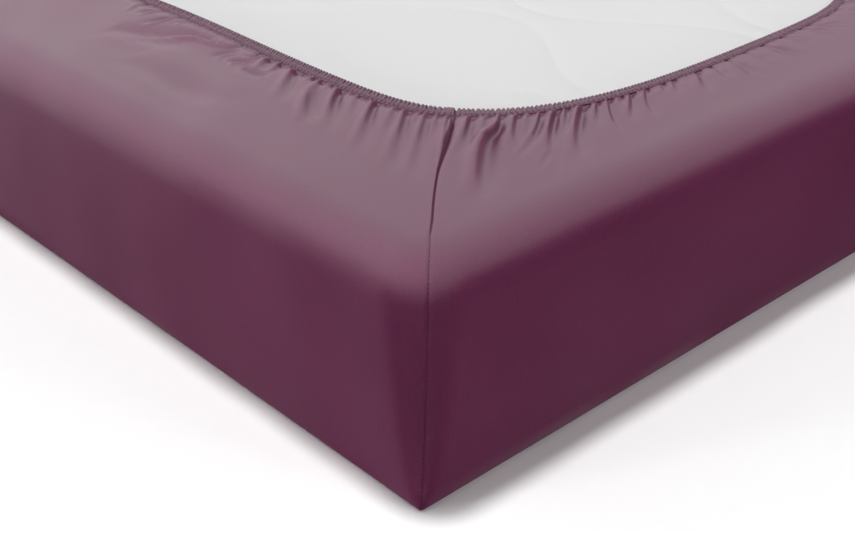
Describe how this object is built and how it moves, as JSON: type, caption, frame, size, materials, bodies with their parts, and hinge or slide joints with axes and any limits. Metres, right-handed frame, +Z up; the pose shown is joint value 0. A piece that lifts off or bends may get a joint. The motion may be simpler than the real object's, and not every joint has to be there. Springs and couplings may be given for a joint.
{
  "type": "fitted sheet on mattress",
  "caption": "Satin fitted sheet drawn over a single mattress lying face down, its gathered elastic mouth on top.",
  "frame": {"origin": "middle of the footprint, on the floor that the sheet's sleeping face rests on", "axes": "+Z up, out of the sheet's mouth; +Y along the mattress; +X across it"},
  "size_m": [0.9074, 2.0074, 0.1835],
  "materials": {
    "plum_satin": "smooth cotton satin with a pale sheen",
    "plum_binding": "fine ribbed elastic binding",
    "mattress_cover": "matt white quilted cover"
  },
  "bodies": {
    "root": {"sheet": "plum_satin", "elastic_edge": "plum_binding", "mattress": "mattress_cover"}
  },
  "joints": []
}
